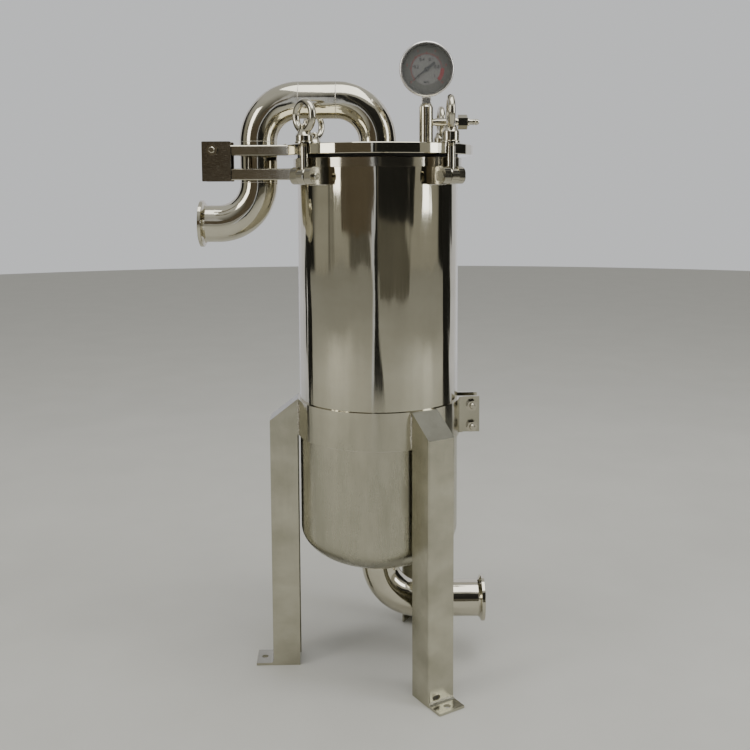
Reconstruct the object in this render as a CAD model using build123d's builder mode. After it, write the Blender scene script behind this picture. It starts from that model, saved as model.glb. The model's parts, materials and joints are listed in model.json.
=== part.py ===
from build123d import *
import os
from math import sin, cos, radians, sqrt

# Bag filter housing: an upright stainless vessel on three clamped-on legs,
# with a swing-bolted lid that carries the inlet pipe, a pressure gauge and a vent.
# Millimetres. +Z is up, z = 0 is the floor, the vessel's axis is the Z axis.
# +X points to the outlet, the hinge is on the -X side.

os.makedirs("parts", exist_ok=True)

# ---------------------------------------------------------------- dimensions
shell_r = 109.5          # outside radius of the 219 mm shell
shell_t = 3.0
z_tan = 201.0            # where the straight shell meets the dished head
head_h = shell_r / 2     # 2:1 elliptical head

flange_z0, flange_z1 = 697.0, 709.0
flange_r = 115.0
flange_bore_r = 98.0
seat_r, seat_z = 104.0, 701.0

gasket_ri, gasket_ro = 104.2, 109.0
lid_z0, lid_z1 = 713.0, 726.5
lid_r = 130.0

pipe_r, pipe_ri = 25.5, 24.0      # 51 mm tube, 1.5 mm wall
bend_r = 56.0                     # centre-line radius of every pipe bend
arch_z = 789.0                    # centre height of the inlet arch
drop_x = -162.2                   # centre of the inlet's down leg
inlet_z = 622.4
inlet_end_x = -243.0
outlet_z = 87.5
outlet_end_x = 148.5
ferrule_r = 32.0                  # 64 mm clamp ferrule

bolt_ring_r = 131.0               # swing bolts stand on this radius
pin_z = 684.6
pin_r, pin_hole_r = 4.5, 4.55
lug_z0 = 674.5
ear_in, ear_out = 7.6, 19.6       # each ear's inner and outer face, from the bolt's centre line
ear_end_r = 139.5
eye_r, eye_w = 10.5, 14.0
shank_r = 6.0
washer_r, washer_t = 12.0, 2.4
nut_z0 = lid_z1 + 0.05 + washer_t + 0.05
ring_z, ring_major, ring_minor = 760.4, 17.7, 4.8
bolt_top_z = 751.0
bolt_psi = {"fr": -45.0, "fl": -135.0, "br": 45.0, "bl": 135.0}
# which way each eye nut's ring lies, turned from the radial direction
nut_turn = {"fr": -45.0, "fl": 85.0, "br": 48.0, "bl": 100.0}
# the right-hand nuts have a longer neck
nut_lift = {"fr": 4.5, "fl": 0.0, "br": 5.5, "bl": 0.0}

band_r, band_t = shell_r, 3.0
band_z0, band_z1 = 332.0, 382.0
band_psi = 2.0                    # the band's split, on the outlet side
tab_gap, tab_t, tab_end_r = 22.0, 4.0, 139.5
tab_bolt_r = 128.5
tab_bolt_z = (340.5, 370.0)

leg_psi = {"front": -58.0, "left": -178.0, "rear": 62.0}
leg_w, leg_sheet = 40.0, 3.0
leg_ri, leg_ro = 113.0, 151.0
leg_top_in, leg_top_out = 381.5, 352.0
foot_end_r, foot_t = 174.5, 3.5
foot_hole_r, foot_hole_at = 4.5, 164.0

arm_y0, arm_y1 = -56.0, -33.0     # the hinge stands beside the inlet's down leg
arm_end_x = -225.5
hinge_x, hinge_z = -214.5, 720.0
low_arm_z0, low_arm_z1 = 681.0, 696.0
cheek_t = 5.0
cheek_x0, cheek_x1, cheek_z0, cheek_z1 = -229.0, -191.5, 679.3, 731.2

gauge_x, gauge_y, gauge_z = 65.0, -25.0, 825.4
socket_r, socket_top = 9.6, 781.0
gauge_r, bezel_r = 34.6, 36.3
vent_z = 757.0


def turned(psi):
    """A location turned about the vessel's axis, so that local +X points outward at psi."""
    return Location((0, 0, 0), (0, 0, psi))


def save(builder, name):
    builder.part.label = name
    export_step(builder.part, f"parts/{name}.step")


def thread_profile(r, z0, z1, pitch, depth):
    """Outline points of a rolled thread's crests and roots, from z0 up to z1."""
    pts = []
    n = int((z1 - z0) / pitch)
    for i in range(n):
        z = z0 + i * pitch
        pts += [(r, z + 0.12 * pitch), (r - depth, z + 0.5 * pitch), (r, z + 0.88 * pitch)]
    return pts


# ---------------------------------------------------------------- pressure shell
with BuildPart() as shell:
    with BuildSketch(Plane.XY.offset(z_tan)):
        Circle(shell_r)
        Circle(shell_r - shell_t, mode=Mode.SUBTRACT)
    extrude(amount=flange_z0 - z_tan)
save(shell, "shell")

head_r_at = z_tan - head_h * sqrt(1 - (pipe_r / shell_r) ** 2)
with BuildPart() as dished_head:
    with BuildSketch(Plane.XZ):
        with BuildLine():
            a = EllipticalCenterArc((0, z_tan), shell_r, head_h, start_angle=270, arc_size=90)
            b = Line(a @ 1, (shell_r - shell_t, z_tan))
            c = EllipticalCenterArc((0, z_tan), shell_r - shell_t, head_h - shell_t, start_angle=270, arc_size=90)
            Line(a @ 0, c @ 0)
        make_face()
    revolve(axis=Axis.Z)
    with BuildSketch(Plane.XY.offset(z_tan - head_h - 5)):
        Circle(pipe_r)
    extrude(amount=20, mode=Mode.SUBTRACT)
save(dished_head, "dished_head")

# Body flange with a step for the basket and four blocks that the lugs hang from
with BuildPart() as body_flange:
    with BuildSketch(Plane.XY.offset(flange_z0)):
        Circle(flange_r)
        for psi in bolt_psi.values():
            with Locations(turned(psi)):
                with Locations((114.0, 0)):
                    Rectangle(22.0, 46.0)
    extrude(amount=flange_z1 - flange_z0)
    with BuildSketch(Plane.XY.offset(flange_z0)):
        Circle(flange_bore_r)
    extrude(amount=flange_z1 - flange_z0, mode=Mode.SUBTRACT)
    with BuildSketch(Plane.XY.offset(seat_z)):
        Circle(seat_r)
    extrude(amount=flange_z1 - seat_z, mode=Mode.SUBTRACT)
    chamfer(body_flange.faces().sort_by(Axis.Z)[-1].outer_wire().edges(), length=0.6)
save(body_flange, "body_flange")

# One clevis lug, pointing along +X, standing on the shell under the flange
with BuildPart() as lug_proto:
    with BuildSketch(Plane.XY.offset(lug_z0)):
        with Locations(((112.0 + 2.0), 0)):
            Rectangle(16.0, 2 * ear_out)
    extrude(amount=flange_z0 - lug_z0)
    with BuildSketch(Plane.XZ.offset(-ear_out)):
        with Locations((130.0, (lug_z0 + flange_z0) / 2)):
            Rectangle(2 * (ear_end_r - 130.0), flange_z0 - lug_z0)
    extrude(amount=2 * ear_out)
    fillet(
        lug_proto.edges().filter_by(Axis.Y).group_by(Axis.X)[-1],
        radius=8.5,
    )
    with BuildSketch(Plane.XZ.offset(-ear_in)):
        with Locations((bolt_ring_r, (lug_z0 + flange_z0) / 2)):
            Rectangle(22.0, 60.0)
    extrude(amount=2 * ear_in, mode=Mode.SUBTRACT)
    with BuildSketch(Plane.XY.offset(lug_z0 - 1)):
        Circle(shell_r)
    extrude(amount=30, mode=Mode.SUBTRACT)
    with BuildSketch(Plane.XZ.offset(-30)):
        with Locations((bolt_ring_r, pin_z)):
            Circle(pin_hole_r)
    extrude(amount=60, mode=Mode.SUBTRACT)

with BuildPart() as bolt_lugs:
    with Locations(*[turned(p) for p in bolt_psi.values()]):
        add(lug_proto.part)
save(bolt_lugs, "bolt_lugs")

# Clevis pins with a low round head at one end and a split-ring groove at the other
with BuildPart() as pin_proto:
    with BuildSketch(Plane.XZ.offset(-(ear_out + 4.5))):
        with Locations((bolt_ring_r, pin_z)):
            Circle(pin_r)
    extrude(amount=2 * ear_out + 4.5 + 0.4)
    with BuildSketch(Plane.XZ.offset(ear_out + 0.3)):
        with Locations((bolt_ring_r, pin_z)):
            Circle(pin_r + 2.4)
    extrude(amount=2.2)
    chamfer(pin_proto.edges().filter_by(GeomType.CIRCLE).sort_by(Axis.Y)[-1], length=0.8)

with BuildPart() as lug_pins:
    with Locations(*[turned(p) for p in bolt_psi.values()]):
        add(pin_proto.part)
save(lug_pins, "lug_pins")

# ---------------------------------------------------------------- outlet
with BuildPart() as outlet_elbow:
    with BuildSketch(Plane.XY.offset(outlet_z + bend_r)):
        Circle(pipe_r)
        Circle(pipe_ri, mode=Mode.SUBTRACT)
    extrude(amount=head_r_at + 2.0 - (outlet_z + bend_r))
    with BuildSketch(Plane.XY.offset(outlet_z + bend_r)):
        Circle(pipe_r)
        Circle(pipe_ri, mode=Mode.SUBTRACT)
    revolve(axis=Axis((bend_r, 0, outlet_z + bend_r), (0, -1, 0)), revolution_arc=90)
save(outlet_elbow, "outlet_elbow")


def ferrule_points(x_start, x_end, sign):
    """Half section of a tube with a clamp ferrule at its outer end, as (x, radius) points."""
    return [
        (x_start, pipe_ri),
        (x_start, pipe_r),
        (x_end - sign * 9.2, pipe_r),
        (x_end - sign * 7.0, pipe_r + 1.6),
        (x_end - sign * 5.0, ferrule_r - 0.7),
        (x_end - sign * 4.2, ferrule_r),
        (x_end - sign * 0.4, ferrule_r),
        (x_end, ferrule_r - 0.4),
        (x_end, 23.6 + 5.6),
        (x_end - sign * 1.5, 23.6 + 4.9),
        (x_end - sign * 1.5, 23.6 + 2.7),
        (x_end, 23.6 + 2.0),
        (x_end, pipe_ri),
    ]


with BuildPart() as outlet_ferrule:
    with BuildSketch(Plane.XZ):
        with BuildLine():
            Polyline(*[(x, r) for x, r in ferrule_points(bend_r, outlet_end_x, 1)], close=True)
        make_face()
    revolve(axis=Axis.X)
with BuildPart() as outlet_ferrule_placed:
    with Locations((0, 0, outlet_z)):
        add(outlet_ferrule.part)
save(outlet_ferrule_placed, "outlet_ferrule")

# ---------------------------------------------------------------- lid and gasket
with BuildPart() as lid_gasket:
    with BuildSketch(Plane.XY.offset(flange_z1)):
        Circle(gasket_ro)
        Circle(gasket_ri, mode=Mode.SUBTRACT)
    extrude(amount=lid_z0 - flange_z1)
save(lid_gasket, "lid_gasket")

with BuildPart() as lid_plate:
    with BuildSketch(Plane.XY.offset(lid_z0)):
        Circle(lid_r)
        Circle(pipe_ri, mode=Mode.SUBTRACT)
        for psi in bolt_psi.values():
            with Locations(turned(psi)):
                with Locations((bolt_ring_r, 0)):
                    Circle(shank_r + 0.9, mode=Mode.SUBTRACT)
                with Locations((bolt_ring_r + 10, 0)):
                    Rectangle(20.0, 2 * (shank_r + 0.9), mode=Mode.SUBTRACT)
    extrude(amount=lid_z1 - lid_z0)
    chamfer(lid_plate.edges().filter_by(GeomType.CIRCLE).filter_by(lambda e: abs(e.radius - lid_r) < 0.01), length=0.8)
    with BuildSketch(Plane.XY.offset(lid_z0)):
        with Locations((gauge_x, gauge_y)):
            Circle(3.0)
    extrude(amount=lid_z1 - lid_z0, mode=Mode.SUBTRACT)
save(lid_plate, "lid_plate")

# Lid arm: a flat bar welded to the rim, ending on the hinge bolt
with BuildPart() as lid_arm:
    with BuildSketch(Plane.XZ.offset(-arm_y1)):
        with Locations(((arm_end_x - 110.0) / 2, (lid_z0 + lid_z1) / 2 - 0.3)):
            Rectangle(-110.0 - arm_end_x, lid_z1 - lid_z0)
    extrude(amount=arm_y1 - arm_y0)
    fillet(lid_arm.edges().filter_by(Axis.Y).group_by(Axis.X)[0], radius=6.4)
    chamfer(lid_arm.edges().filter_by(Axis.X), length=1.2)
    with BuildSketch(Plane.XY.offset(lid_z0 - 2)):
        Circle(lid_r)
    extrude(amount=20, mode=Mode.SUBTRACT)
    with BuildSketch(Plane.XZ.offset(-arm_y1 - 5)):
        with Locations((hinge_x, hinge_z)):
            Circle(4.05)
    extrude(amount=40, mode=Mode.SUBTRACT)
save(lid_arm, "lid_arm")

# Support arm under it, welded to the shell
with BuildPart() as hinge_support:
    with BuildSketch(Plane.XZ.offset(-arm_y1)):
        with Locations(((arm_end_x - 80.0) / 2, (low_arm_z0 + low_arm_z1) / 2)):
            Rectangle(-80.0 - arm_end_x, low_arm_z1 - low_arm_z0)
    extrude(amount=arm_y1 - arm_y0)
    chamfer(hinge_support.edges().filter_by(Axis.X), length=1.2)
    with BuildSketch(Plane.XY.offset(low_arm_z0 - 2)):
        Circle(shell_r)
    extrude(amount=40, mode=Mode.SUBTRACT)
save(hinge_support, "hinge_support")

with BuildPart() as hinge_cheeks:
    with BuildSketch(Plane.XZ.offset(-arm_y0)):
        with Locations(((cheek_x0 + cheek_x1) / 2, (cheek_z0 + cheek_z1) / 2)):
            RectangleRounded(cheek_x1 - cheek_x0, cheek_z1 - cheek_z0, 1.2)
        with Locations((hinge_x, hinge_z)):
            Circle(4.05, mode=Mode.SUBTRACT)
    extrude(amount=cheek_t)
    with BuildSketch(Plane.XZ.offset(-arm_y1 - cheek_t)):
        with Locations(((cheek_x0 + cheek_x1) / 2, (cheek_z0 + cheek_z1) / 2)):
            RectangleRounded(cheek_x1 - cheek_x0, cheek_z1 - cheek_z0, 1.2)
        with Locations((hinge_x, hinge_z)):
            Circle(4.05, mode=Mode.SUBTRACT)
    extrude(amount=cheek_t)
save(hinge_cheeks, "hinge_cheeks")

hb_front = arm_y0 - cheek_t
hb_back = arm_y1 + cheek_t
with BuildPart() as hinge_bolt:
    with BuildSketch(Plane.XZ.offset(-hb_back)):
        with Locations((hinge_x, hinge_z)):
            RegularPolygon(6.5, 6, major_radius=False, rotation=12)
    extrude(amount=-5.3)
    with BuildSketch(Plane.XZ.offset(-hb_back)):
        with Locations((hinge_x, hinge_z)):
            Circle(4.0)
    extrude(amount=hb_back - hb_front + 9.6)
    chamfer(hinge_bolt.edges().filter_by(GeomType.CIRCLE).sort_by(Axis.Y)[0], length=1.0)
save(hinge_bolt, "hinge_bolt")

with BuildPart() as hinge_nut:
    with BuildSketch(Plane.XZ.offset(-hb_front)):
        with Locations((hinge_x, hinge_z)):
            RegularPolygon(6.5, 6, major_radius=False, rotation=20)
            Circle(4.0, mode=Mode.SUBTRACT)
    extrude(amount=6.5)
save(hinge_nut, "hinge_nut")

# ---------------------------------------------------------------- inlet pipe, welded to the lid
with BuildPart() as inlet_lid_bend:
    with BuildSketch(Plane.XY.offset(lid_z1)):
        Circle(pipe_r)
        Circle(pipe_ri, mode=Mode.SUBTRACT)
    extrude(amount=arch_z - bend_r - lid_z1)
    with BuildSketch(Plane.XY.offset(arch_z - bend_r)):
        Circle(pipe_r)
        Circle(pipe_ri, mode=Mode.SUBTRACT)
    revolve(axis=Axis((-bend_r, 0, arch_z - bend_r), (0, -1, 0)), revolution_arc=90)
save(inlet_lid_bend, "inlet_lid_bend")

with BuildPart() as inlet_bridge:
    with BuildSketch(Plane.YZ.offset(drop_x + bend_r)):
        with Locations((0, arch_z)):
            Circle(pipe_r)
            Circle(pipe_ri, mode=Mode.SUBTRACT)
    extrude(amount=-bend_r - (drop_x + bend_r))
save(inlet_bridge, "inlet_bridge")

with BuildPart() as inlet_outer_bend:
    with BuildSketch(Plane.YZ.offset(drop_x + bend_r)):
        with Locations((0, arch_z)):
            Circle(pipe_r)
            Circle(pipe_ri, mode=Mode.SUBTRACT)
    revolve(axis=Axis((drop_x + bend_r, 0, arch_z - bend_r), (0, -1, 0)), revolution_arc=90)
save(inlet_outer_bend, "inlet_outer_bend")

with BuildPart() as inlet_drop:
    with BuildSketch(Plane.XY.offset(inlet_z + bend_r)):
        with Locations((drop_x, 0)):
            Circle(pipe_r)
            Circle(pipe_ri, mode=Mode.SUBTRACT)
    extrude(amount=(arch_z - bend_r) - (inlet_z + bend_r))
save(inlet_drop, "inlet_drop")

with BuildPart() as inlet_elbow:
    with BuildSketch(Plane.XY.offset(inlet_z + bend_r)):
        with Locations((drop_x, 0)):
            Circle(pipe_r)
            Circle(pipe_ri, mode=Mode.SUBTRACT)
    revolve(axis=Axis((drop_x - bend_r, 0, inlet_z + bend_r), (0, 1, 0)), revolution_arc=90)
save(inlet_elbow, "inlet_elbow")

with BuildPart() as inlet_ferrule:
    with BuildSketch(Plane.XZ):
        with BuildLine():
            Polyline(*[(x, r) for x, r in ferrule_points(drop_x - bend_r, inlet_end_x, -1)], close=True)
        make_face()
    revolve(axis=Axis.X)
with BuildPart() as inlet_ferrule_placed:
    with Locations((0, 0, inlet_z)):
        add(inlet_ferrule.part)
save(inlet_ferrule_placed, "inlet_ferrule")

# ---------------------------------------------------------------- swing bolts, washers and eye nuts
with BuildPart() as swing_proto:
    with BuildSketch(Plane.XZ.offset(-eye_w / 2)):
        with Locations((bolt_ring_r, pin_z)):
            Circle(eye_r)
    extrude(amount=eye_w)
    chamfer(swing_proto.edges().filter_by(GeomType.CIRCLE), length=1.2)
    with BuildSketch(Plane.XY.offset(pin_z)):
        with Locations((bolt_ring_r, 0)):
            Circle(shank_r)
    extrude(amount=lid_z1 - 4.0 - pin_z)
    with BuildSketch(Plane.XZ.offset(-30)):
        with Locations((bolt_ring_r, pin_z)):
            Circle(pin_hole_r)
    extrude(amount=60, mode=Mode.SUBTRACT)
with BuildPart() as swing_thread_proto:
    with BuildSketch(Plane.XZ):
        with BuildLine():
            Polyline(
                (0, lid_z1 - 4.0), (shank_r - 0.85, lid_z1 - 4.0),
                *thread_profile(shank_r, lid_z1 - 4.0, bolt_top_z - 1.5, 1.75, 0.85),
                (shank_r - 0.3, bolt_top_z - 1.2), (shank_r - 1.4, bolt_top_z), (0, bolt_top_z), close=True,
            )
        make_face()
    revolve(axis=Axis.Z)

with BuildPart() as washer_proto:
    with BuildSketch(Plane.XY.offset(lid_z1 + 0.05)):
        with Locations((bolt_ring_r, 0)):
            Circle(washer_r)
            Circle(shank_r + 0.3, mode=Mode.SUBTRACT)
    extrude(amount=washer_t)
    chamfer(washer_proto.edges().filter_by(GeomType.CIRCLE).group_by(Axis.Z)[-1].sort_by(SortBy.RADIUS)[-1], length=0.5)

def eye_nut_body(lift):
    """Eye nut standing on the Z axis with its ring in the XZ plane."""
    top = ring_z + lift
    with BuildPart() as nut:
        with BuildSketch(Plane.XY.offset(top)):
            with Locations((ring_major, 0)):
                Circle(ring_minor)
        revolve(axis=Axis((0, 0, top), (0, 1, 0)))
        with BuildSketch(Plane.XZ):
            with BuildLine():
                Polyline(
                    (0, nut_z0), (10.2, nut_z0), (11.0, nut_z0 + 0.8), (11.0, nut_z0 + 7.0 + lift),
                    (10.2, nut_z0 + 8.6 + lift), (8.4, nut_z0 + 11.5 + lift), (7.2, nut_z0 + 15.0 + lift),
                    (0, nut_z0 + 15.0 + lift), close=True,
                )
            make_face()
        revolve(axis=Axis.Z)
        with BuildSketch(Plane.XY.offset(nut_z0 - 1)):
            Circle(shank_r + 0.06)
        extrude(amount=ring_z - nut_z0 - 4, mode=Mode.SUBTRACT)
    return nut.part


for key, psi in bolt_psi.items():
    with BuildPart() as swing_bolt:
        with Locations(turned(psi)):
            add(swing_proto.part)
            with Locations((bolt_ring_r, 0, 0)):
                add(swing_thread_proto.part)
    save(swing_bolt, f"swing_bolt_{key}")
    with BuildPart() as clamp_washer:
        with Locations(turned(psi)):
            add(washer_proto.part)
    save(clamp_washer, f"clamp_washer_{key}")
    with BuildPart() as eye_nut:
        with Locations(turned(psi)):
            with Locations(Location((bolt_ring_r, 0, 0), (0, 0, nut_turn[key]))):
                add(eye_nut_body(nut_lift[key]))
    save(eye_nut, f"eye_nut_{key}")

# ---------------------------------------------------------------- leg band, its bolts and the legs
with BuildPart() as band_proto:
    with BuildSketch(Plane.XY.offset(band_z0)):
        Circle(band_r + band_t)
        with Locations((115.0, 0)):
            Rectangle(30.0, tab_gap, mode=Mode.SUBTRACT)
        with Locations(((109.9 + tab_end_r) / 2, tab_gap / 2 + tab_t / 2), ((109.9 + tab_end_r) / 2, -tab_gap / 2 - tab_t / 2)):
            Rectangle(tab_end_r - 109.9, tab_t)
        with Locations((113.4, tab_gap / 2 + tab_t + 1.4), (113.4, -tab_gap / 2 - tab_t - 1.4)):
            Rectangle(4.6, 4.0)
        Circle(band_r, mode=Mode.SUBTRACT)
    extrude(amount=band_z1 - band_z0)
    with BuildSketch(Plane.XZ.offset(-40)):
        with Locations(*[(tab_bolt_r, z) for z in tab_bolt_z]):
            Circle(4.4)
    extrude(amount=80, mode=Mode.SUBTRACT)
with BuildPart() as leg_band:
    with Locations(turned(band_psi)):
        add(band_proto.part)
save(leg_band, "leg_band")

tab_out = tab_gap / 2 + tab_t
with BuildPart() as band_bolt_proto:
    with BuildSketch(Plane.XZ.offset(-tab_out)):
        with Locations(*[(tab_bolt_r, z) for z in tab_bolt_z]):
            RegularPolygon(6.5, 6, major_radius=False)
    extrude(amount=-5.3)
    with BuildSketch(Plane.XZ.offset(-tab_out)):
        with Locations(*[(tab_bolt_r, z) for z in tab_bolt_z]):
            Circle(4.0)
    extrude(amount=2 * tab_out + 1.6 + 6.5 + 3.5)
    chamfer(band_bolt_proto.edges().filter_by(GeomType.CIRCLE).group_by(Axis.Y)[0], length=1.0)
with BuildPart() as band_bolts:
    with Locations(turned(band_psi)):
        add(band_bolt_proto.part)
save(band_bolts, "band_bolts")

with BuildPart() as band_washer_proto:
    with BuildSketch(Plane.XZ.offset(tab_out)):
        with Locations(*[(tab_bolt_r, z) for z in tab_bolt_z]):
            Circle(8.0)
            Circle(4.2, mode=Mode.SUBTRACT)
    extrude(amount=1.6)
with BuildPart() as band_washers:
    with Locations(turned(band_psi)):
        add(band_washer_proto.part)
save(band_washers, "band_washers")

with BuildPart() as band_nut_proto:
    with BuildSketch(Plane.XZ.offset(tab_out + 1.6)):
        with Locations(*[(tab_bolt_r, z) for z in tab_bolt_z]):
            RegularPolygon(6.5, 6, major_radius=False, rotation=8)
            Circle(4.0, mode=Mode.SUBTRACT)
    extrude(amount=6.5)
with BuildPart() as band_nuts:
    with Locations(turned(band_psi)):
        add(band_nut_proto.part)
save(band_nuts, "band_nuts")

# One leg, folded from sheet: a channel open towards the vessel, a sloping cap and a turned-out foot
slope = (leg_top_in - leg_top_out) / (leg_ro - leg_ri)
with BuildPart() as leg_proto:
    with BuildSketch(Plane.XZ.offset(-leg_w / 2)):
        with BuildLine():
            Polyline((leg_ri, 0), (leg_ro, 0), (leg_ro, leg_top_out), (leg_ri, leg_top_in), close=True)
        make_face()
    extrude(amount=leg_w)
    fillet(leg_proto.edges().filter_by(Axis.Z).group_by(Axis.X)[-1], radius=2.0)
    with BuildSketch(Plane.XZ.offset(-leg_w / 2)):
        with Locations(((106.0 + leg_ri) / 2, (band_z0 + leg_top_in) / 2)):
            Rectangle(leg_ri - 106.0, leg_top_in - band_z0)
    extrude(amount=leg_w)
    with BuildSketch(Plane.XZ.offset(-(leg_w / 2 - leg_sheet))):
        with BuildLine():
            x_in, x_web = 100.0, leg_ro - leg_sheet
            cap_drop = leg_sheet * sqrt(1 + slope ** 2)
            Polyline(
                (x_in, -1), (x_web, -1), (x_web, leg_top_out + slope * leg_sheet - cap_drop),
                (leg_ri - 0.5, leg_top_in - cap_drop + 0.5 * slope), (x_in, leg_top_in - cap_drop + 0.5 * slope), close=True,
            )
        make_face()
    extrude(amount=leg_w - 2 * leg_sheet, mode=Mode.SUBTRACT)
    with BuildSketch(Plane.XZ.offset(-(leg_w / 2 - 0.5))):
        with BuildLine():
            Polyline(
                (leg_ro - leg_sheet, 0), (foot_end_r, 0), (foot_end_r, foot_t), (leg_ro + 3.4, foot_t),
                (leg_ro + 1.0, foot_t + 1.0), (leg_ro, foot_t + 3.4), (leg_ro - leg_sheet, foot_t + 3.4), close=True,
            )
        make_face()
    extrude(amount=leg_w - 1.0)
    with BuildSketch(Plane.XY.offset(-1)):
        with Locations((foot_hole_at, 0)):
            Circle(foot_hole_r)
    extrude(amount=8, mode=Mode.SUBTRACT)
    with BuildSketch(Plane.YZ.offset(leg_ro - 8)):
        with Locations((-8.0, 11.0)):
            SlotOverall(12.0, 6.4)
    extrude(amount=16, mode=Mode.SUBTRACT)
    with BuildSketch(Plane.XY.offset(band_z0 - 1)):
        Circle(band_r + band_t)
    extrude(amount=band_z1 - band_z0 + 2, mode=Mode.SUBTRACT)

for key, psi in leg_psi.items():
    with BuildPart() as leg:
        with Locations(turned(psi)):
            add(leg_proto.part)
    save(leg, f"leg_{key}")

# ---------------------------------------------------------------- pressure gauge
with BuildPart() as gauge_socket:
    with BuildSketch(Plane.XZ.offset(-gauge_y)):
        with BuildLine():
            Polyline(
                (gauge_x, lid_z1), (gauge_x + socket_r, lid_z1), (gauge_x + socket_r, socket_top - 4.0),
                (gauge_x + 7.6, socket_top), (gauge_x, socket_top), close=True,
            )
        make_face()
    revolve(axis=Axis((gauge_x, gauge_y, 0), (0, 0, 1)))
    with BuildSketch(Plane.XY.offset(lid_z1)):
        with Locations((gauge_x, gauge_y)):
            Circle(3.0)
    extrude(amount=socket_top - lid_z1, mode=Mode.SUBTRACT)
    with BuildSketch(Plane.YZ.offset(gauge_x)):
        with Locations((gauge_y, vent_z)):
            Circle(4.6)
    extrude(amount=12, mode=Mode.SUBTRACT)
save(gauge_socket, "gauge_socket")

gauge_y0, gauge_y1 = gauge_y - 13.0, gauge_y + 15.0     # case front and back
with BuildPart() as gauge_stem:
    with BuildSketch(Plane.XY.offset(socket_top)):
        with Locations((gauge_x, gauge_y)):
            RectangleRounded(12.6, 12.6, 1.0)
    extrude(amount=8.0)
    with BuildSketch(Plane.XY.offset(socket_top + 8.0)):
        with Locations((gauge_x, gauge_y)):
            Circle(6.0)
    extrude(amount=8.0)
    with BuildSketch(Plane.XZ.offset(-gauge_y1 - 2)):
        with Locations((gauge_x, gauge_z)):
            Circle(gauge_r)
    extrude(amount=gauge_y1 - gauge_y0 + 6, mode=Mode.SUBTRACT)
save(gauge_stem, "gauge_stem")

with BuildPart() as gauge_case:
    with BuildSketch(Plane.XZ.offset(-gauge_y1)):
        with Locations((gauge_x, gauge_z)):
            Circle(gauge_r)
    extrude(amount=gauge_y1 - gauge_y0)
    fillet(gauge_case.edges().filter_by(GeomType.CIRCLE).group_by(Axis.Y)[-1], radius=3.0)
    with BuildSketch(Plane.XZ.offset(-gauge_y0)):
        with Locations((gauge_x, gauge_z)):
            Circle(gauge_r - 1.2)
    extrude(amount=-(gauge_y1 - gauge_y0 - 1.4), mode=Mode.SUBTRACT)
save(gauge_case, "gauge_case")

dial_y = gauge_y0 + 5.2
with BuildPart() as gauge_dial:
    with BuildSketch(Plane.XZ.offset(-dial_y)):
        with Locations((gauge_x, gauge_z)):
            Circle(gauge_r - 1.2)
            Circle(1.26, mode=Mode.SUBTRACT)
    extrude(amount=1.0)
    with BuildSketch(Plane.XZ.offset(-dial_y + 1.0)):
        with Locations((gauge_x - 15.4, gauge_z - 9.6)):
            Circle(0.6)
    extrude(amount=1.0)
save(gauge_dial, "gauge_dial")

with BuildPart() as gauge_movement:
    with BuildSketch(Plane.XZ.offset(-(dial_y + 14.0))):
        with Locations((gauge_x, gauge_z)):
            Rectangle(26.0, 30.0)
            Circle(1.26, mode=Mode.SUBTRACT)
    extrude(amount=12.0)
save(gauge_movement, "gauge_movement")

# Pointer with its hub and spindle; the long needle points down to the left at zero
needle = radians(218.0)
with BuildPart() as gauge_pointer:
    with BuildSketch(Plane.XZ.offset(-dial_y + 2.0)):
        with Locations((gauge_x, gauge_z)):
            Circle(3.0)
        with BuildLine():
            ux, uz = cos(needle), sin(needle)
            px, pz = -uz, ux
            Polyline(
                (gauge_x + 20.5 * ux + 0.35 * px, gauge_z + 20.5 * uz + 0.35 * pz),
                (gauge_x + 20.5 * ux - 0.35 * px, gauge_z + 20.5 * uz - 0.35 * pz),
                (gauge_x + 1.3 * -px, gauge_z - 1.3 * pz),
                (gauge_x - 14.0 * ux - 1.9 * px, gauge_z - 14.0 * uz - 1.9 * pz),
                (gauge_x - 14.0 * ux + 1.9 * px, gauge_z - 14.0 * uz + 1.9 * pz),
                (gauge_x + 1.3 * px, gauge_z + 1.3 * pz),
                close=True,
            )
        make_face()
    extrude(amount=0.7)
    with BuildSketch(Plane.XZ.offset(-(dial_y + 8.0))):
        with Locations((gauge_x, gauge_z)):
            Circle(1.2)
    extrude(amount=8.0 - 2.0 + 4.4)
save(gauge_pointer, "gauge_pointer")

with BuildPart() as gauge_bezel:
    with BuildSketch(Plane.XZ.offset(-(gauge_y0 + 4.0))):
        with Locations((gauge_x, gauge_z)):
            Circle(bezel_r)
            Circle(gauge_r, mode=Mode.SUBTRACT)
    extrude(amount=4.0)
    with BuildSketch(Plane.XZ.offset(-gauge_y0)):
        with Locations((gauge_x, gauge_z)):
            Circle(bezel_r)
            Circle(32.6, mode=Mode.SUBTRACT)
    extrude(amount=3.0)
    fillet(gauge_bezel.edges().filter_by(GeomType.CIRCLE).group_by(Axis.Y)[0].sort_by(SortBy.RADIUS)[-1], radius=2.7)
save(gauge_bezel, "gauge_bezel")

with BuildPart() as gauge_lens:
    with BuildSketch(Plane.XZ.offset(-(gauge_y0 + 1.8))):
        with Locations((gauge_x, gauge_z)):
            Circle(gauge_r - 1.25)
    extrude(amount=1.8)
save(gauge_lens, "gauge_lens")

# ---------------------------------------------------------------- air vent on the gauge socket
def round_bar(points):
    """Solid of revolution about the vent's axis, from (x, radius) points."""
    with BuildPart() as bar:
        with BuildSketch(Plane.XZ):
            with BuildLine():
                Polyline(*points, close=True)
            make_face()
        revolve(axis=Axis.X)
    return bar.part


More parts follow.
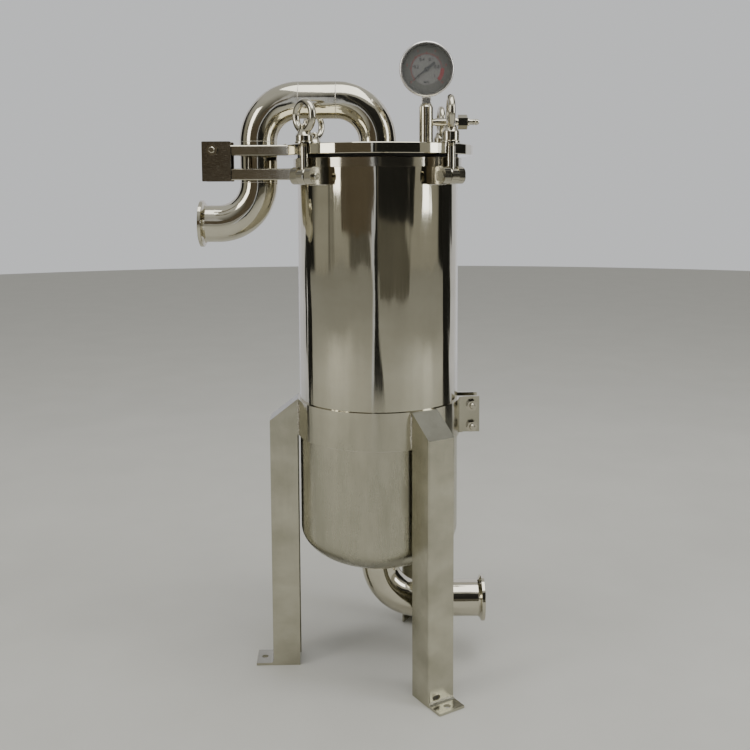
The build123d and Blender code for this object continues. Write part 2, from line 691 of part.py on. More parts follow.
with BuildPart() as vent_nipple:
    with Locations((0, gauge_y, vent_z)):
        add(round_bar([
            (gauge_x + 5.0, 1.8), (gauge_x + 5.0, 4.5), (gauge_x + 12.0, 4.5), (gauge_x + 12.0, 5.2),
            (103.0, 5.2), (103.0, 6.2), (105.5, 6.2), (105.5, 5.0), (107.0, 5.0), (107.0, 3.4),
            (124.0, 3.4), (124.0, 1.8),
        ]))
save(vent_nipple, "vent_nipple")

with BuildPart() as vent_nut:
    with BuildSketch(Plane.YZ.offset(107.4)):
        with Locations((gauge_y, vent_z)):
            RegularPolygon(8.5, 6, major_radius=False, rotation=30)
            Circle(3.46, mode=Mode.SUBTRACT)
    extrude(amount=12.6)
    chamfer(vent_nut.edges().filter_by(GeomType.LINE).group_by(Axis.X)[-1], length=0.6)
save(vent_nut, "vent_nut")

with BuildPart() as vent_tip:
    with Locations((0, gauge_y, vent_z)):
        add(round_bar([
            (120.6, 3.4), (120.6, 5.2), (122.2, 5.2), (122.2, 3.6), (127.0, 3.6), (127.6, 4.3), (130.4, 3.6),
            (131.0, 4.3), (134.6, 3.3), (135.4, 2.8), (135.4, 1.6), (124.0, 1.6), (124.0, 3.4),
        ]))
save(vent_tip, "vent_tip")

# ---------------------------------------------------------------- inside: basket and bag
basket_r, basket_z0 = 92.0, 268.0
with BuildPart() as basket:
    with BuildSketch(Plane.XY.offset(basket_z0)):
        Circle(basket_r)
    extrude(amount=seat_z - basket_z0)
    with BuildSketch(Plane.XY.offset(basket_z0 + 1.2)):
        Circle(basket_r - 1.2)
    extrude(amount=seat_z - basket_z0, mode=Mode.SUBTRACT)
    for row in range(9):
        with Locations((0, 0, basket_z0 + 38 + row * 42)):
            with PolarLocations(basket_r, 14, start_angle=(row % 2) * 180 / 14):
                Cylinder(7.0, 8.0, rotation=(0, 90, 0), mode=Mode.SUBTRACT)
    with BuildSketch(Plane.XY.offset(basket_z0)):
        with PolarLocations(45, 8):
            Circle(7.0)
    extrude(amount=2.0, mode=Mode.SUBTRACT)
save(basket, "basket")

with BuildPart() as basket_ring:
    with BuildSketch(Plane.XY.offset(seat_z)):
        Circle(seat_r - 0.4)
        Circle(basket_r - 3.5, mode=Mode.SUBTRACT)
    extrude(amount=4.0)
save(basket_ring, "basket_ring")

with BuildPart() as filter_bag:
    with BuildSketch(Plane.XZ):
        with BuildLine():
            Polyline(
                (0, basket_z0 + 3.0), (60, basket_z0 + 4.0), (80, basket_z0 + 12.0), (basket_r - 2.2, basket_z0 + 30.0),
                (basket_r - 2.2, 700.0), (basket_r - 4.2, 700.0), (basket_r - 4.2, basket_z0 + 31.0),
                (78.5, basket_z0 + 14.0), (59.5, basket_z0 + 6.0), (0, basket_z0 + 5.0), close=True,
            )
        make_face()
    revolve(axis=Axis.Z)
save(filter_bag, "filter_bag")

with BuildPart() as bag_ring:
    with BuildSketch(Plane.XY.offset(seat_z + 4.0)):
        Circle(seat_r - 1.0)
        Circle(basket_r - 5.5, mode=Mode.SUBTRACT)
    extrude(amount=5.5)
    with BuildSketch(Plane.XY.offset(700.0)):
        Circle(basket_r - 3.6)
        Circle(basket_r - 5.5, mode=Mode.SUBTRACT)
    extrude(amount=5.0)
save(bag_ring, "bag_ring")

print("done")
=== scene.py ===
import json
from math import atan2, cos, pi, radians, sin

import bmesh
import bpy
from mathutils import Matrix, Vector


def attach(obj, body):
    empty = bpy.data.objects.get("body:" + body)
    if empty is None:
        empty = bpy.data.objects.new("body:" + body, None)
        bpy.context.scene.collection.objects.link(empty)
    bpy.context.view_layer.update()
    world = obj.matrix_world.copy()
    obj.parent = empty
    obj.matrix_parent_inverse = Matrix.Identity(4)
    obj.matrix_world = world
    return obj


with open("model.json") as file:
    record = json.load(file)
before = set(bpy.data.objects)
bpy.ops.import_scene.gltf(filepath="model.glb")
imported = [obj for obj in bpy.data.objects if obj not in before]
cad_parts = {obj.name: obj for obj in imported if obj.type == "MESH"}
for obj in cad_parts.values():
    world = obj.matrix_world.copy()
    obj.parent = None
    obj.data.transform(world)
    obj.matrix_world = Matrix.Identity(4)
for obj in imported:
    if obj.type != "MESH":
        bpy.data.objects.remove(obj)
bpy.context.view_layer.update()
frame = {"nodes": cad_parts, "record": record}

NODES = frame["nodes"]
SCENE = bpy.context.scene


# ---------------------------------------------------------------- materials
def new_material(name):
    m = bpy.data.materials.new(name)
    m.use_nodes = True
    nt = m.node_tree
    return m, nt, nt.nodes["Principled BSDF"]


def noise(nt, scale, stretch=(1, 1, 1), detail=4.0, rough=0.55):
    """A noise texture in the row frame, stretched along the axes."""
    tc = nt.nodes.new("ShaderNodeTexCoord")
    mp = nt.nodes.new("ShaderNodeMapping")
    mp.inputs["Scale"].default_value = stretch
    n = nt.nodes.new("ShaderNodeTexNoise")
    n.inputs["Scale"].default_value = scale
    n.inputs["Detail"].default_value = detail
    n.inputs["Roughness"].default_value = rough
    nt.links.new(tc.outputs["Object"], mp.inputs["Vector"])
    nt.links.new(mp.outputs["Vector"], n.inputs["Vector"])
    return n


def ramp(nt, source, stops):
    r = nt.nodes.new("ShaderNodeValToRGB")
    e = r.color_ramp.elements
    while len(e) > 1:
        e.remove(e[-1])
    e[0].position, e[0].color = stops[0][0], (*stops[0][1], 1)
    for p, c in stops[1:]:
        k = e.new(p)
        k.color = (*c, 1)
    nt.links.new(source, r.inputs["Fac"])
    return r


def grey(v):
    return (v, v, v)


def steel(name, dark, light, rough, stretch, wave=0.0, wave_stretch=(1, 1, 1), grain=0.15, specks=0.0, scale=900.0):
    """Stainless steel: polishing grain, slow waviness that bends the reflections, and a few dull specks."""
    m, nt, b = new_material(name)
    b.inputs["Metallic"].default_value = 1.0
    cloud = noise(nt, 16.0, (1, 1, 1.4), 5.0)
    tint = ramp(nt, cloud.outputs["Fac"], [(0.3, dark), (0.7, light)])
    grain_n = noise(nt, scale, stretch, 3.0)
    colour = tint.outputs["Color"]
    if specks:
        sp = noise(nt, 420.0, (1, 1, 1), 2.0)
        spots = ramp(nt, sp.outputs["Fac"], [(0.70, grey(0.0)), (0.76, grey(1.0))])
        mix = nt.nodes.new("ShaderNodeMix")
        mix.data_type = "RGBA"
        mix.inputs["B"].default_value = (dark[0] * 0.35, dark[1] * 0.33, dark[2] * 0.3, 1)
        fac = nt.nodes.new("ShaderNodeMath")
        fac.operation = "MULTIPLY"
        fac.inputs[1].default_value = specks
        nt.links.new(spots.outputs["Color"], fac.inputs[0])
        nt.links.new(fac.outputs[0], mix.inputs["Factor"])
        nt.links.new(colour, mix.inputs["A"])
        colour = mix.outputs["Result"]
    nt.links.new(colour, b.inputs["Base Color"])
    r = ramp(nt, grain_n.outputs["Fac"], [(0.3, grey(rough[0])), (0.7, grey(rough[1]))])
    nt.links.new(r.outputs["Color"], b.inputs["Roughness"])
    bump = nt.nodes.new("ShaderNodeBump")
    bump.inputs["Strength"].default_value = grain
    bump.inputs["Distance"].default_value = 0.0002
    nt.links.new(grain_n.outputs["Fac"], bump.inputs["Height"])
    normal = bump
    if wave:
        wv = noise(nt, 22.0, wave_stretch, 1.5)
        bump2 = nt.nodes.new("ShaderNodeBump")
        bump2.inputs["Strength"].default_value = 1.0
        bump2.inputs["Distance"].default_value = wave
        nt.links.new(wv.outputs["Fac"], bump2.inputs["Height"])
        nt.links.new(bump.outputs["Normal"], bump2.inputs["Normal"])
        normal = bump2
    nt.links.new(normal.outputs["Normal"], b.inputs["Normal"])
    return m


def plain(name, c0, c1, rough, bump_d=0.0001, scale=500.0, stretch=(1, 1, 1), metallic=0.0, alpha=None):
    m, nt, b = new_material(name)
    n = noise(nt, scale, stretch, 4.0)
    col = ramp(nt, n.outputs["Fac"], [(0.3, c0), (0.7, c1)])
    nt.links.new(col.outputs["Color"], b.inputs["Base Color"])
    rr = ramp(nt, n.outputs["Fac"], [(0.3, grey(rough[0])), (0.7, grey(rough[1]))])
    nt.links.new(rr.outputs["Color"], b.inputs["Roughness"])
    b.inputs["Metallic"].default_value = metallic
    bp = nt.nodes.new("ShaderNodeBump")
    bp.inputs["Strength"].default_value = 0.4
    bp.inputs["Distance"].default_value = bump_d
    nt.links.new(n.outputs["Fac"], bp.inputs["Height"])
    nt.links.new(bp.outputs["Normal"], b.inputs["Normal"])
    if alpha is not None:
        b.inputs["Alpha"].default_value = alpha
    return m


M = {
    "polished_steel": steel("polished_shell", (0.56, 0.53, 0.425), (0.64, 0.61, 0.50), (0.035, 0.085), (1, 1, 0.03), 0.0026, (1.5, 1.5, 0.14), 0.07, 0.30),
    "pipe_steel": steel("polished_tube", (0.53, 0.50, 0.405), (0.64, 0.61, 0.505), (0.05, 0.11), (1, 0.2, 1), 0.0009, (1, 1, 1), 0.05),
    "satin_steel": steel("satin_sheet", (0.37, 0.355, 0.275), (0.55, 0.53, 0.43), (0.19, 0.27), (1, 1, 0.15), 0.0012, (1, 1, 0.7), 0.012, 0.22, 260.0),
    "cast_steel": steel("polished_fittings", (0.49, 0.46, 0.37), (0.60, 0.57, 0.47), (0.08, 0.17), (1, 1, 1), 0.0005, (1, 1, 1), 0.06, 0.3),
    "dull_plate": steel("tinted_plate", (0.235, 0.205, 0.155), (0.34, 0.30, 0.23), (0.16, 0.28), (0.2, 1, 1), 0.0005, (1, 1, 1), 0.20, 0.5),
    "gauge_steel": steel("gauge_shell", (0.74, 0.72, 0.68), (0.84, 0.82, 0.79), (0.24, 0.34), (1, 0.1, 1), 0.0, (1, 1, 1), 0.10),
    "gasket_black": plain("black_rubber", (0.010, 0.010, 0.010), (0.022, 0.022, 0.021), (0.55, 0.75)),
    "bag_felt": plain("needle_felt", (0.72, 0.71, 0.66), (0.86, 0.85, 0.81), (0.85, 0.95), 0.0006, 700.0),
    "ring_plastic": plain("moulded_ring", (0.70, 0.70, 0.68), (0.76, 0.76, 0.74), (0.40, 0.55)),
    "dial_face": plain("dial_card", (0.20, 0.195, 0.185), (0.27, 0.26, 0.25), (0.40, 0.55), 0.00002, 900.0),
    "pointer_black": plain("pointer_paint", (0.012, 0.012, 0.012), (0.03, 0.03, 0.03), (0.35, 0.5), 0.00002),
    "lens_glass": plain("gauge_glass", (0.90, 0.94, 0.95), (0.95, 0.97, 0.98), (0.02, 0.04), 0.000002, 60.0, alpha=0.05),
}


def dial_card_material():
    """Printed dial: a lighter disc inside the scale and a darker olive ring outside it."""
    m, nt, b = new_material("dial_card_rings")
    tc = nt.nodes.new("ShaderNodeTexCoord")
    off = nt.nodes.new("ShaderNodeVectorMath")
    off.operation = "SUBTRACT"
    off.inputs[1].default_value = (0.065, 0.0, 0.8254)
    nt.links.new(tc.outputs["Object"], off.inputs[0])
    flat = nt.nodes.new("ShaderNodeVectorMath")
    flat.operation = "MULTIPLY"
    flat.inputs[1].default_value = (1, 0, 1)
    nt.links.new(off.outputs[0], flat.inputs[0])
    ln = nt.nodes.new("ShaderNodeVectorMath")
    ln.operation = "LENGTH"
    nt.links.new(flat.outputs[0], ln.inputs[0])
    sc = nt.nodes.new("ShaderNodeMath")
    sc.operation = "MULTIPLY"
    sc.inputs[1].default_value = 25.0
    nt.links.new(ln.outputs["Value"], sc.inputs[0])
    cr = ramp(nt, sc.outputs[0], [(0.0, (0.165, 0.160, 0.152)), (0.49, (0.150, 0.145, 0.138)), (0.515, (0.075, 0.074, 0.062)), (0.80, (0.050, 0.050, 0.040))])
    nt.links.new(cr.outputs["Color"], b.inputs["Base Color"])
    n = noise(nt, 900.0, (1, 1, 1), 3.0)
    rr = ramp(nt, n.outputs["Fac"], [(0.3, grey(0.40)), (0.7, grey(0.55))])
    nt.links.new(rr.outputs["Color"], b.inputs["Roughness"])
    return m


M["dial_face"] = dial_card_material()
BEAD = steel("weld_bead", (0.52, 0.49, 0.42), (0.74, 0.71, 0.64), (0.16, 0.34), (1, 1, 1), 0.0, (1, 1, 1), 0.6, 0.3, 700.0)
DARK_INK = plain("dial_ink", (0.006, 0.006, 0.007), (0.014, 0.014, 0.015), (0.45, 0.6), 0.00001)
RED_INK = plain("dial_red", (0.20, 0.004, 0.008), (0.26, 0.007, 0.011), (0.45, 0.6), 0.00001)



def by_height(m, z0, z1, low, high, haze):
    """The steel is duller below z0 than above z1: adds roughness low at the bottom, high at the top."""
    nt, b = m.node_tree, m.node_tree.nodes["Principled BSDF"]
    old = b.inputs["Roughness"].links[0].from_socket
    tc = nt.nodes.new("ShaderNodeTexCoord")
    sep = nt.nodes.new("ShaderNodeSeparateXYZ")
    nt.links.new(tc.outputs["Object"], sep.inputs[0])
    mr = nt.nodes.new("ShaderNodeMapRange")
    mr.interpolation_type = "SMOOTHSTEP"
    mr.inputs["From Min"].default_value = z0
    mr.inputs["From Max"].default_value = z1
    mr.inputs["To Min"].default_value = low
    mr.inputs["To Max"].default_value = high
    nt.links.new(sep.outputs["Z"], mr.inputs["Value"])
    stain = noise(nt, 26.0, (1, 1, 0.25), 6.0, 0.65)
    mul = nt.nodes.new("ShaderNodeMath")
    mul.operation = "MULTIPLY"
    nt.links.new(mr.outputs["Result"], mul.inputs[0])
    nt.links.new(stain.outputs["Fac"], mul.inputs[1])
    add = nt.nodes.new("ShaderNodeMath")
    add.operation = "ADD"
    nt.links.new(old, add.inputs[0])
    nt.links.new(mul.outputs[0], add.inputs[1])
    nt.links.new(add.outputs[0], b.inputs["Roughness"])
    old_c = b.inputs["Base Color"].links[0].from_socket
    part = nt.nodes.new("ShaderNodeMath")
    part.operation = "MULTIPLY"
    part.inputs[1].default_value = 2.6
    nt.links.new(mul.outputs[0], part.inputs[0])
    mix = nt.nodes.new("ShaderNodeMix")
    mix.data_type = "RGBA"
    mix.inputs["B"].default_value = (*haze, 1)
    nt.links.new(part.outputs[0], mix.inputs["Factor"])
    nt.links.new(old_c, mix.inputs["A"])
    nt.links.new(mix.outputs["Result"], b.inputs["Base Color"])


def paint_upward_reflection(m, colour, amount):
    """Painted reflection: faces that look up get a darker, bluer base colour, standing in for the room's ceiling
    mirrored in them.
    """
    nt, b = m.node_tree, m.node_tree.nodes["Principled BSDF"]
    old = b.inputs["Base Color"].links[0].from_socket
    geo = nt.nodes.new("ShaderNodeNewGeometry")
    sep = nt.nodes.new("ShaderNodeSeparateXYZ")
    nt.links.new(geo.outputs["Normal"], sep.inputs[0])
    mr = nt.nodes.new("ShaderNodeMapRange")
    mr.inputs["From Min"].default_value = 0.55
    mr.inputs["From Max"].default_value = 0.75
    mr.inputs["To Max"].default_value = amount
    nt.links.new(sep.outputs["Z"], mr.inputs["Value"])
    mix = nt.nodes.new("ShaderNodeMix")
    mix.data_type = "RGBA"
    mix.inputs["B"].default_value = (*colour, 1)
    nt.links.new(mr.outputs["Result"], mix.inputs["Factor"])
    nt.links.new(old, mix.inputs["A"])
    nt.links.new(mix.outputs["Result"], b.inputs["Base Color"])


by_height(M["polished_steel"], 0.30, 0.46, 0.42, 0.0, (0.33, 0.325, 0.25))
# Painted reflection on the satin sheet: faces that look up get a darker, bluer base colour.
paint_upward_reflection(M["satin_steel"], (0.22, 0.225, 0.205), 0.45)

for sp in frame["record"]["subparts"]:
    ob = NODES[sp["node"]]
    ob.data.materials.clear()
    ob.data.materials.append(M[sp["material_slot"]])


# ---------------------------------------------------------------- mesh helpers
def mesh_object(name, bm, material, body, smooth=True):
    me = bpy.data.meshes.new(name)
    bm.normal_update()
    bm.to_mesh(me)
    bm.free()
    ob = bpy.data.objects.new(name, me)
    SCENE.collection.objects.link(ob)
    me.materials.append(material)
    if smooth:
        for p in me.polygons:
            p.use_smooth = True
    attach(ob, body)
    return ob


def sweep_closed(bm, centres, frames, radii, sides=10):
    """Joins rings of vertices round a closed path. frames are (u, v) unit vectors of each ring."""
    rings = []
    for c, (u, v), r in zip(centres, frames, radii):
        rings.append([bm.verts.new(c + u * (r * cos(2 * pi * k / sides)) + v * (r * sin(2 * pi * k / sides))) for k in range(sides)])
    n = len(rings)
    for i in range(n):
        a, b = rings[i], rings[(i + 1) % n]
        for k in range(sides):
            bm.faces.new((a[k], a[(k + 1) % sides], b[(k + 1) % sides], b[k]))


def ring_bead(name, centre, axis, radius, thick, body, ripples=64, lift=0.0):
    """A rippled weld bead all round a tube. Its scales overlap, as a hand-laid weld's do."""
    axis = Vector(axis).normalized()
    u0 = axis.orthogonal().normalized()
    v0 = axis.cross(u0)
    steps = ripples * 4
    bm = bmesh.new()
    centres, frames, radii = [], [], []
    for i in range(steps):
        t = 2 * pi * i / steps
        d = u0 * cos(t) + v0 * sin(t)
        saw = (i % 4) / 4
        wob = 0.12 * sin(7 * t) + 0.07 * sin(17 * t + 1)
        centres.append(Vector(centre) + d * (radius + lift) + axis * (thick * 0.22 * sin(5 * t + 0.6)))
        frames.append((d, axis * 1.7))
        radii.append(thick * (0.86 + 0.24 * saw + wob))
    sweep_closed(bm, centres, frames, radii, 8)
    return mesh_object(name, bm, BEAD, body)


def line_bead(name, p0, p1, thick, body, pitch=0.0022):
    """A straight weld bead between two points, with rounded ends."""
    p0, p1 = Vector(p0), Vector(p1)
    d = p1 - p0
    steps = max(8, int(d.length / pitch) * 4)
    d.normalize()
    u = d.orthogonal().normalized()
    v = d.cross(u)
    bm = bmesh.new()
    rings = []
    for i in range(steps + 1):
        f = i / steps
        end = min(1.0, 6 * f + 0.25, 6 * (1 - f) + 0.25)
        r = thick * end * (0.85 + 0.25 * (i % 4) / 4 + 0.1 * sin(i * 0.37))
        c = p0 + (p1 - p0) * f + u * (thick * 0.15 * sin(i * 0.21))
        rings.append([bm.verts.new(c + u * (r * cos(2 * pi * k / 8)) + v * (r * sin(2 * pi * k / 8))) for k in range(8)])
    for a, b in zip(rings, rings[1:]):
        for k in range(8):
            bm.faces.new((a[k], a[(k + 1) % 8], b[(k + 1) % 8], b[k]))
    bm.faces.new(list(reversed(rings[0])))
    bm.faces.new(rings[-1])
    return mesh_object(name, bm, BEAD, body)


def arc_bead(name, radius, z, a0, a1, thick, body):
    """A weld bead along part of a level circle about the vessel's axis. Angles are in degrees from +X."""
    n = max(12, int(abs(a1 - a0) * 1.4))
    bm = bmesh.new()
    rings = []
    for i in range(n + 1):
        f = i / n
        a = radians(a0 + (a1 - a0) * f)
        d = Vector((cos(a), sin(a), 0))
        end = min(1.0, 6 * f + 0.25, 6 * (1 - f) + 0.25)
        r = thick * end * (0.85 + 0.25 * (i % 4) / 4 + 0.1 * sin(i * 0.5))
        c = d * radius + Vector((0, 0, z))
        rings.append([bm.verts.new(c + d * (r * cos(2 * pi * k / 8)) + Vector((0, 0, 1)) * (r * sin(2 * pi * k / 8))) for k in range(8)])
    for a_, b_ in zip(rings, rings[1:]):
        for k in range(8):
            bm.faces.new((a_[k], a_[(k + 1) % 8], b_[(k + 1) % 8], b_[k]))
    bm.faces.new(list(reversed(rings[0])))
    bm.faces.new(rings[-1])
    return mesh_object(name, bm, BEAD, body)


# ---------------------------------------------------------------- weld beads
PIPE = 0.0255
ring_bead("bead_bridge_left", (-0.1062, 0, 0.789), (1, 0, 0), PIPE, 0.00035, "vessel", 70)
ring_bead("bead_bridge_right", (-0.056, 0, 0.789), (1, 0, 0), PIPE, 0.00035, "vessel", 70)
ring_bead("bead_drop_top", (-0.1622, 0, 0.733), (0, 0, 1), PIPE, 0.00022, "vessel", 70)
ring_bead("bead_drop_low", (-0.1622, 0, 0.6784), (0, 0, 1), PIPE, 0.00022, "vessel", 70)
ring_bead("bead_lid_riser", (0, 0, 0.7271), (0, 0, 1), PIPE, 0.0022, "vessel", 48)
ring_bead("bead_outlet_head", (0, 0, 0.1477), (0, 0, 1), PIPE, 0.0022, "vessel", 48)
ring_bead("bead_outlet_stub", (0.056, 0, 0.0875), (1, 0, 0), PIPE, 0.00022, "vessel", 70)
ring_bead("bead_gauge_socket", (0.065, -0.025, 0.7270), (0, 0, 1), 0.0096, 0.0014, "vessel", 26)
line_bead("bead_arm_front", (-0.1175, -0.0563, 0.7143), (-0.1175, -0.0563, 0.7255), 0.0013, "vessel")
line_bead("bead_arm_top", (-0.1195, -0.0555, 0.7266), (-0.1248, -0.0335, 0.7266), 0.0013, "vessel")
line_bead("bead_low_arm_front", (-0.0946, -0.0562, 0.6825), (-0.0946, -0.0562, 0.6955), 0.0014, "vessel")
for key, a in (("fr", -45.0), ("fl", -135.0), ("br", 45.0), ("bl", 135.0)):
    arc_bead(f"bead_lug_{key}", 0.1103, 0.6745, a - 9.5, a + 9.5, 0.0012, "vessel")
for key, a in (("front", -58.0), ("left", -178.0), ("rear", 62.0)):
    for side, s in (("a", 1), ("b", -1)):
        e = radians(a)
        t = Vector((-sin(e), cos(e), 0))
        o = Vector((cos(e), sin(e), 0))
        foot = o * 0.1114 + t * (0.0202 * s)
        line_bead(f"bead_leg_{key}_{side}", (foot.x, foot.y, 0.3335), (foot.x, foot.y, 0.3795), 0.0012, "vessel")
arc_bead("bead_band_low_left", 0.1106, 0.3316, -172.0, -64.0, 0.0006, "vessel")


# ---------------------------------------------------------------- gauge dial: ticks, numbers, coloured arc
GX, GZ, DY = 0.065, 0.8254, -0.0338
A0, A1 = 220.0, -40.0


def dial_patch(bm, r0, r1, a0, a1, y0, y1, steps):
    """A thin raised patch of the dial between two radii and two angles."""
    prev = None
    first = None
    for i in range(steps + 1):
        a = radians(a0 + (a1 - a0) * i / steps)
        ring = [bm.verts.new((GX + r * cos(a), y, GZ + r * sin(a))) for r, y in ((r0, y0), (r1, y0), (r1, y1), (r0, y1))]
        if prev:
            for k in range(4):
                bm.faces.new((prev[k], prev[(k + 1) % 4], ring[(k + 1) % 4], ring[k]))
        else:
            first = ring
        prev = ring
    bm.faces.new(list(reversed(first)))
    bm.faces.new(prev)


def dial_text(name, text, size, r, deg, ink, weight):
    a = radians(deg)
    cu = bpy.data.curves.new(name, "FONT")
    cu.body = text
    cu.size = size
    cu.align_x = "CENTER"
    cu.align_y = "CENTER"
    cu.extrude = 0.00005
    cu.offset = weight
    ob = bpy.data.objects.new(name, cu)
    SCENE.collection.objects.link(ob)
    ob.matrix_world = Matrix.Translation((GX + r * cos(a), DY - 0.0001, GZ + r * sin(a))) @ Matrix.Rotation(pi / 2, 4, "X")
    cu.materials.append(ink)
    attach(ob, "vessel")


# Black inner scale, thin red ring, red outer scale and the red band at its end
bm = bmesh.new()
for i in range(51):
    a = A0 + (A1 - A0) * i / 50
    w = 1.5 if i % 10 == 0 else 0.7
    dial_patch(bm, 0.0176 if i % 5 == 0 else 0.0186, 0.0198, a - w, a + w, DY, DY - 0.00012, 1)
mesh_object("dial_ticks", bm, DARK_INK, "vessel", smooth=False)
bm = bmesh.new()
for i in range(61):
    a = A0 + (A1 - A0) * i / 60
    w = 1.1 if i % 10 == 0 else 0.5
    dial_patch(bm, 0.0202, 0.0228 if i % 10 == 0 else 0.0216, a - w, a + w, DY, DY - 0.00012, 1)
dial_patch(bm, 0.0198, 0.0203, A0, A1, DY, DY - 0.00012, 90)
mesh_object("dial_red_scale", bm, RED_INK, "vessel", smooth=False)
bm = bmesh.new()
dial_patch(bm, 0.0184, 0.0234, 2.0, A1, DY - 0.00013, DY - 0.00030, 24)
mesh_object("dial_red_band", bm, RED_INK, "vessel", smooth=False)
for i, text in enumerate(("0", "0.2", "0.4", "0.6", "0.8", "1")):
    dial_text(f"dial_number_{i}", text, 0.0056, 0.0138, A0 + (A1 - A0) * i / 5, DARK_INK, 0.00020)
for i, text in enumerate(("0", "2", "4", "6", "8", "10")):
    dial_text(f"dial_outer_{i}", text, 0.0042, 0.0262, A0 + (A1 - A0) * i / 5, RED_INK, 0.00008)
dial_text("dial_unit", "MPa", 0.0046, 0.0170, -90.0, DARK_INK, 0.00010)
# A small domed boss over the spindle
bm = bmesh.new()
prof = [(0.0, -0.0016), (0.0010, -0.0015), (0.0015, -0.0010), (0.0017, -0.0004), (0.0017, 0.0)]
cols = []
for r, y in prof:
    cols.append([bm.verts.new((GX + max(r, 1e-5) * cos(2 * pi * k / 24), -0.0355 + y * 0.3, GZ + max(r, 1e-5) * sin(2 * pi * k / 24))) for k in range(24)])
for a_, b_ in zip(cols, cols[1:]):
    for k in range(24):
        bm.faces.new((a_[k], a_[(k + 1) % 24], b_[(k + 1) % 24], b_[k]))
mesh_object("pointer_boss", bm, M["pointer_black"], "gauge_pointer")


# ---------------------------------------------------------------- stage: floor, light, camera
bm = bmesh.new()
rings = []
for r in (0.0, 0.4, 1.0, 2.0, 4.0, 7.0):
    rings.append([bm.verts.new((max(r, 1e-4) * cos(2 * pi * k / 96), max(r, 1e-4) * sin(2 * pi * k / 96), -0.0002)) for k in range(96)])
for a_, b_ in zip(rings, rings[1:]):
    for k in range(96):
        bm.faces.new((a_[k], b_[k], b_[(k + 1) % 96], a_[(k + 1) % 96]))
me = bpy.data.meshes.new("floor")
bm.to_mesh(me)
bm.free()
floor = bpy.data.objects.new("floor", me)
SCENE.collection.objects.link(floor)
me.materials.append(plain("pale_floor", (0.545, 0.54, 0.50), (0.58, 0.575, 0.535), (0.7, 0.85), 0.0002, 6.0))

world = bpy.data.worlds.new("studio")
SCENE.world = world
world.use_nodes = True
nt = world.node_tree
bg = nt.nodes["Background"]
tc = nt.nodes.new("ShaderNodeTexCoord")
sep = nt.nodes.new("ShaderNodeSeparateXYZ")
nt.links.new(tc.outputs["Generated"], sep.inputs[0])
ax = nt.nodes.new("ShaderNodeMath")
ax.operation = "ARCTAN2"
nt.links.new(sep.outputs["X"], ax.inputs[0])
neg = nt.nodes.new("ShaderNodeMath")
neg.operation = "MULTIPLY"
neg.inputs[1].default_value = -1.0
nt.links.new(sep.outputs["Y"], neg.inputs[0])
nt.links.new(neg.outputs[0], ax.inputs[1])
unit = nt.nodes.new("ShaderNodeMapRange")
unit.inputs["From Min"].default_value = -pi
unit.inputs["From Max"].default_value = pi
nt.links.new(ax.outputs[0], unit.inputs["Value"])


def at(deg):
    """Where a compass angle (0 is behind the camera, + to its right) falls on the ramp."""
    return (deg + 180) / 360


WALL, DIM, DARK, PALE = (0.34, 0.33, 0.28), (0.12, 0.115, 0.095), (0.018, 0.018, 0.016), (0.62, 0.62, 0.64)
sky = ramp(nt, unit.outputs["Result"], [
    (at(-180), PALE), (at(-128), PALE), (at(-120), DARK), (at(-104), DARK), (at(-96), WALL), (at(-78), WALL),
    (at(-74), DIM), (at(-66), WALL), (at(-46), WALL), (at(-36), DIM), (at(-14), DIM), (at(-11), PALE),
    (at(-7), PALE), (at(-4), DARK), (at(4), DIM), (at(34), DIM), (at(46), WALL), (at(88), WALL),
    (at(94), DARK), (at(122), DARK), (at(130), PALE), (at(180), PALE),
])
up = nt.nodes.new("ShaderNodeMapRange")
up.inputs["From Min"].default_value = 0.30
up.inputs["From Max"].default_value = 0.75
nt.links.new(sep.outputs["Z"], up.inputs["Value"])
roof = nt.nodes.new("ShaderNodeMix")
roof.data_type = "RGBA"
roof.inputs["B"].default_value = (0.55, 0.55, 0.53, 1)
nt.links.new(up.outputs["Result"], roof.inputs["Factor"])
nt.links.new(sky.outputs["Color"], roof.inputs["A"])
lp = nt.nodes.new("ShaderNodeLightPath")
seen = nt.nodes.new("ShaderNodeMix")
seen.data_type = "RGBA"
seen.inputs["B"].default_value = (0.66, 0.67, 0.68, 1)
nt.links.new(lp.outputs["Is Camera Ray"], seen.inputs["Factor"])
nt.links.new(roof.outputs["Result"], seen.inputs["A"])
nt.links.new(seen.outputs["Result"], bg.inputs["Color"])
bg.inputs["Strength"].default_value = 1.0


def area(name, place, target, size, power, colour=(1, 1, 1)):
    li = bpy.data.lights.new(name, "AREA")
    li.shape = "RECTANGLE"
    li.size, li.size_y = size
    li.energy = power
    li.color = colour
    ob = bpy.data.objects.new(name, li)
    SCENE.collection.objects.link(ob)
    ob.location = place
    ob.rotation_euler = (Vector(target) - Vector(place)).to_track_quat("-Z", "Y").to_euler()
    return ob


area("soft_top", (0.3, -0.6, 2.9), (0, 0, 0.4), (2.2, 2.2), 42)
area("soft_left", (-2.4, -1.5, 1.5), (0, 0, 0.5), (0.9, 1.8), 22, (1.0, 0.98, 0.94))
area("soft_right", (2.5, -0.9, 1.4), (0, 0, 0.5), (0.8, 1.8), 20, (0.97, 0.98, 1.0))

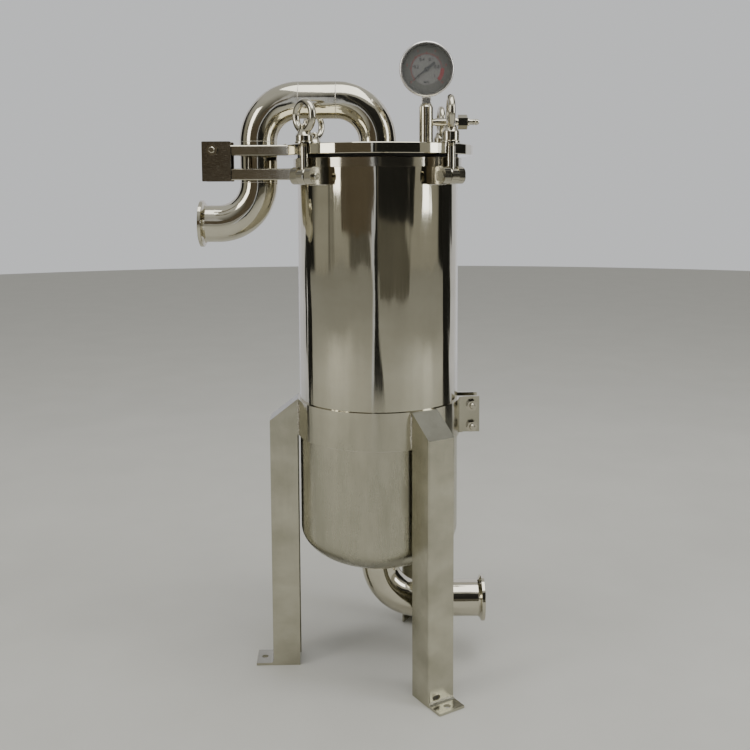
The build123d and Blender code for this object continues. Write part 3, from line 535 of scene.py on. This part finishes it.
def card(name, deg0, deg1, dist, z0, z1, colour, glow):
    """A curved studio card that only reflections see. Degrees run round the vessel: 0 is behind the camera, + to its right."""
    n = max(4, int(abs(deg1 - deg0) / 3))
    bm = bmesh.new()
    cols = []
    for i in range(n + 1):
        a = radians(deg0 + (deg1 - deg0) * i / n)
        cols.append([bm.verts.new((dist * sin(a), -dist * cos(a), z)) for z in (z0, z1)])
    for p, q in zip(cols, cols[1:]):
        bm.faces.new((p[0], q[0], q[1], p[1]))
    me = bpy.data.meshes.new(name)
    bm.to_mesh(me)
    bm.free()
    ob = bpy.data.objects.new(name, me)
    SCENE.collection.objects.link(ob)
    m, nt_, b = new_material(name)
    nn = noise(nt_, 3.0, (1, 1, 0.2), 2.0)
    cr = ramp(nt_, nn.outputs["Fac"], [(0.3, tuple(0.85 * v for v in colour)), (0.7, colour)])
    nt_.links.new(cr.outputs["Color"], b.inputs["Base Color"])
    b.inputs["Roughness"].default_value = 0.9
    if glow:
        nt_.links.new(cr.outputs["Color"], b.inputs["Emission Color"])
        b.inputs["Emission Strength"].default_value = glow
    me.materials.append(m)
    ob.visible_camera = False
    ob.visible_shadow = False
    ob.visible_diffuse = False
    return ob


card("card_dark_right", 99, 121, 1.15, 0.02, 1.6, (0.010, 0.010, 0.009), 0)
card("card_dark_left", -122, -108, 1.15, 0.02, 1.6, (0.010, 0.010, 0.009), 0)
card("card_dark_line", -4.3, 1.5, 1.8, 0.02, 1.8, (0.012, 0.012, 0.012), 0)
card("card_pale_line", -8.6, -4.5, 1.78, 0.02, 1.15, (0.50, 0.52, 0.58), 0.55)
card("card_dark_centre", 4, 47, 2.1, 0.56, 2.2, (0.010, 0.010, 0.008), 0)
card("card_dim_centre", 4, 40, 2.3, 0.28, 0.56, (0.10, 0.095, 0.075), 0.35)
card("card_brown_left", -50, -8.7, 2.2, 0.52, 1.25, (0.085, 0.068, 0.045), 0.45)
card("card_edge_right", 123, 179, 1.6, 0.0, 1.9, (0.60, 0.605, 0.66), 0.62)
card("card_edge_left", -179, -124, 1.6, 0.0, 1.9, (0.56, 0.56, 0.62), 0.58)

cam = bpy.data.cameras.new("camera")
cam.sensor_width = 36.0
cam.lens = 45.38
cam.shift_x = -0.0042
cam.shift_y = -0.1235
camera = bpy.data.objects.new("camera", cam)
SCENE.collection.objects.link(camera)
camera.matrix_world = Matrix.Translation((0, -1.301, 0.668)) @ Matrix.Rotation(radians(84.389), 4, "X") @ Matrix.Rotation(radians(-0.25), 4, "Z")
SCENE.camera = camera
